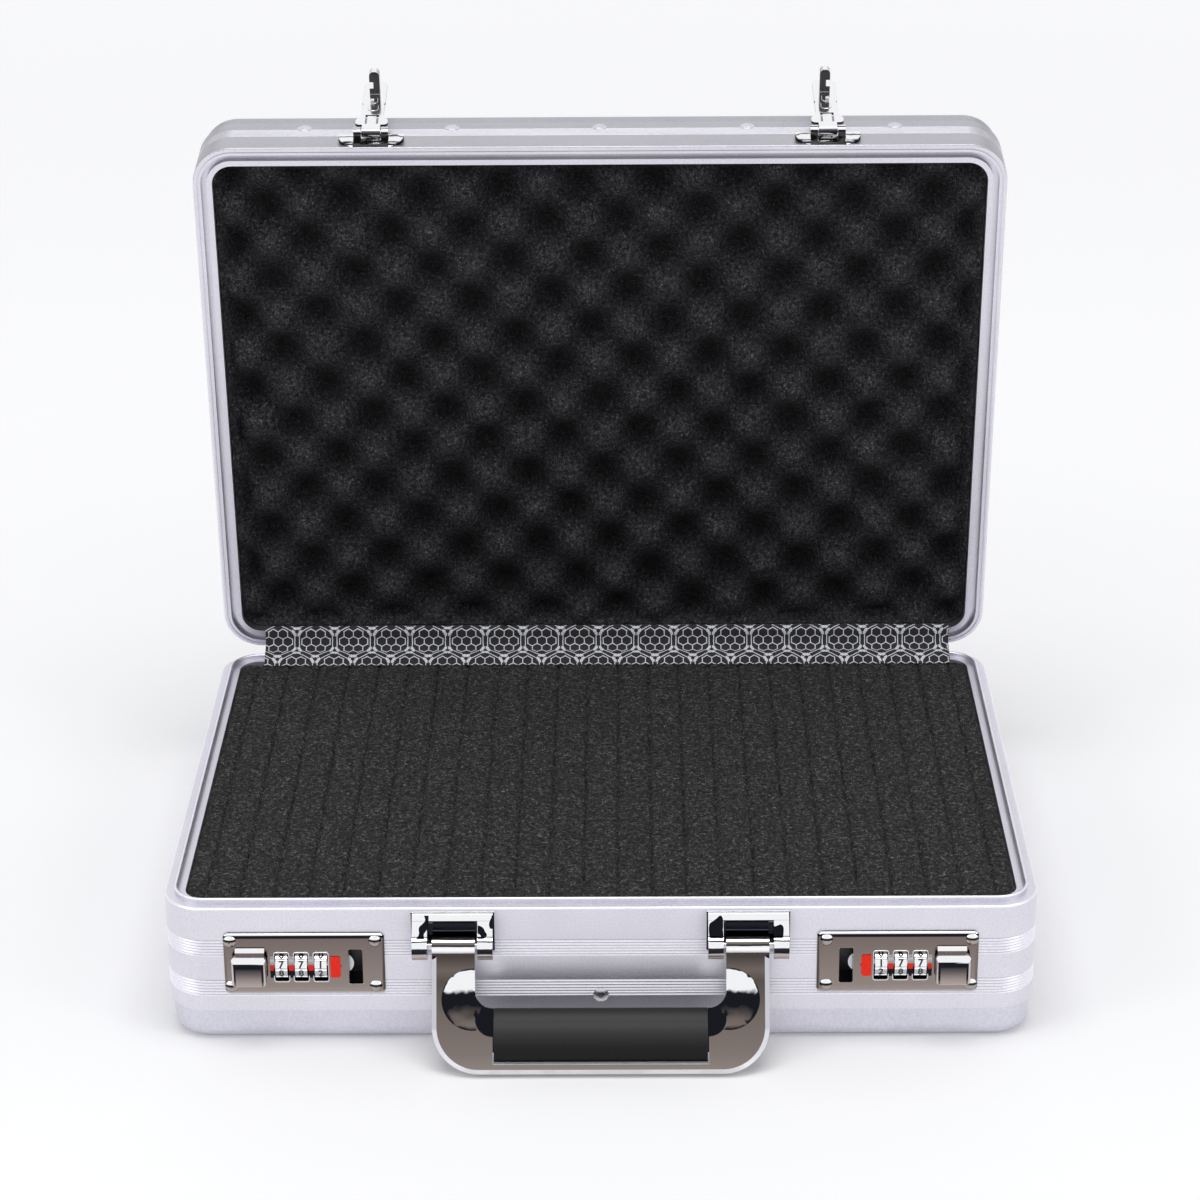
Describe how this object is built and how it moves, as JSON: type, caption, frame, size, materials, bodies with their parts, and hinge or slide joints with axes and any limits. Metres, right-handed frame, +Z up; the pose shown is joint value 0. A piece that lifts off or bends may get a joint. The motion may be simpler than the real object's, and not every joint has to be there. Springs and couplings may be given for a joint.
{
  "type": "laptop hard case",
  "caption": "Aluminium carrying case with a hinged lid, wavy and cubed foam, flip hasps, number-dial locks and a folding handle.",
  "frame": {"origin": "centre of the underside of the base, on the surface it lies on", "axes": "+X to the right, +Y to the hinge at the back, +Z up; the handle and locks face -Y"},
  "size_m": [0.4524, 0.4128, 0.431],
  "materials": {
    "frame_aluminium": "satin extruded aluminium with fine drawn grain",
    "panel_aluminium": "satin sheet aluminium, lightly mottled",
    "rivet_aluminium": "smooth domed heads",
    "hinge_steel": "plain rolled steel",
    "bright_chrome": "bright chrome plate",
    "smoked_chrome": "darker polished chrome plate",
    "steel_pin": "turned steel",
    "lock_steel": "pressed steel, hidden in the lock",
    "dial_metal": "plated dial with plain black numbers",
    "indicator_red": "red enamelled plastic",
    "foam_black": "open-cell foam, near black, with pale specks",
    "foam_wave": "open-cell foam, near black, wavy face",
    "lining_fabric": "woven black fabric printed with a white honeycomb",
    "foot_rubber": "matte black rubber",
    "grip_plastic": "satin black soft-touch plastic",
    "spring_steel": "drawn spring wire"
  },
  "bodies": {
    "base": {"base_frame": "frame_aluminium", "base_tray": "panel_aluminium", "base_rivets": "rivet_aluminium", "base_foam": "foam_black", "base_foam_pad": "foam_black", "base_feet": "foot_rubber", "hinge_leaf_base": "hinge_steel", "hinge_pin": "steel_pin", "handle_bracket_left": "bright_chrome", "handle_pin_left": "steel_pin", "lock_plate_left": "smoked_chrome", "lock_housing_left": "lock_steel", "lock_screws_left": "bright_chrome", "dial_shaft_left": "steel_pin", "indicator_left": "indicator_red", "handle_bracket_right": "bright_chrome", "handle_pin_right": "steel_pin", "lock_plate_right": "smoked_chrome", "lock_housing_right": "lock_steel", "lock_screws_right": "bright_chrome", "dial_shaft_right": "steel_pin", "indicator_right": "indicator_red"},
    "lid": {"lid_frame": "frame_aluminium", "lid_panel": "panel_aluminium", "lid_rivets": "rivet_aluminium", "lid_foam": "foam_wave", "lid_feet": "foot_rubber", "hinge_leaf_lid": "hinge_steel", "hasp_base_left": "bright_chrome", "hasp_base_right": "bright_chrome", "hasp_pin_left": "steel_pin", "hasp_pin_right": "steel_pin", "hinge_lining": "lining_fabric"},
    "handle": {"handle_frame": "smoked_chrome", "handle_grip": "grip_plastic"},
    "hasp_left": {"hasp_lever_left": "bright_chrome"},
    "release_left": {"lock_button_left": "bright_chrome", "lock_slider_left": "lock_steel", "return_spring_left": "spring_steel"},
    "wheel_left_1": {"dial_left_1": "dial_metal"},
    "wheel_left_2": {"dial_left_2": "dial_metal"},
    "wheel_left_3": {"dial_left_3": "dial_metal"},
    "hasp_right": {"hasp_lever_right": "bright_chrome"},
    "release_right": {"lock_button_right": "bright_chrome", "lock_slider_right": "lock_steel", "return_spring_right": "spring_steel"},
    "wheel_right_1": {"dial_right_1": "dial_metal"},
    "wheel_right_2": {"dial_right_2": "dial_metal"},
    "wheel_right_3": {"dial_right_3": "dial_metal"}
  },
  "joints": [
    {"name": "lid_hinge", "type": "hinge", "parent": "base", "child": "lid", "pos_m": [0, 0.1636, 0.078], "axis": [-1, 0, 0], "range_deg": [-82.5, 12.5], "deforming": ["hinge_lining"]},
    {"name": "handle_swing", "type": "hinge", "parent": "base", "child": "handle", "pos_m": [0, -0.167, 0.0595], "axis": [-1, 0, 0], "range_deg": [-27, 68]},
    {"name": "hasp_left_flip", "type": "hinge", "parent": "lid", "child": "hasp_left", "pos_m": [-0.1258, 0.13062, 0.40509], "axis": [-1, 0, 0], "range_deg": [-175, 0]},
    {"name": "release_left_slide", "type": "slide", "parent": "base", "child": "release_left", "axis": [-1, 0, 0], "range_m": [0, 0.004], "stiffness_N_per_m": 300, "springref_m": -0.003, "deforming": ["return_spring_left"]},
    {"name": "dial_left_1_turn", "type": "hinge", "parent": "base", "child": "wheel_left_1", "pos_m": [-0.1436, -0.15685, 0.045], "axis": [1, 0, 0], "continuous": true},
    {"name": "dial_left_2_turn", "type": "hinge", "parent": "base", "child": "wheel_left_2", "pos_m": [-0.1537, -0.15685, 0.045], "axis": [1, 0, 0], "continuous": true},
    {"name": "dial_left_3_turn", "type": "hinge", "parent": "base", "child": "wheel_left_3", "pos_m": [-0.1638, -0.15685, 0.045], "axis": [1, 0, 0], "continuous": true},
    {"name": "hasp_right_flip", "type": "hinge", "parent": "lid", "child": "hasp_right", "pos_m": [0.1258, 0.13062, 0.40509], "axis": [-1, 0, 0], "range_deg": [-175, 0]},
    {"name": "release_right_slide", "type": "slide", "parent": "base", "child": "release_right", "axis": [1, 0, 0], "range_m": [0, 0.004], "stiffness_N_per_m": 300, "springref_m": -0.003, "deforming": ["return_spring_right"]},
    {"name": "dial_right_1_turn", "type": "hinge", "parent": "base", "child": "wheel_right_1", "pos_m": [0.1436, -0.15685, 0.045], "axis": [1, 0, 0], "continuous": true},
    {"name": "dial_right_2_turn", "type": "hinge", "parent": "base", "child": "wheel_right_2", "pos_m": [0.1537, -0.15685, 0.045], "axis": [1, 0, 0], "continuous": true},
    {"name": "dial_right_3_turn", "type": "hinge", "parent": "base", "child": "wheel_right_3", "pos_m": [0.1638, -0.15685, 0.045], "axis": [1, 0, 0], "continuous": true}
  ]
}
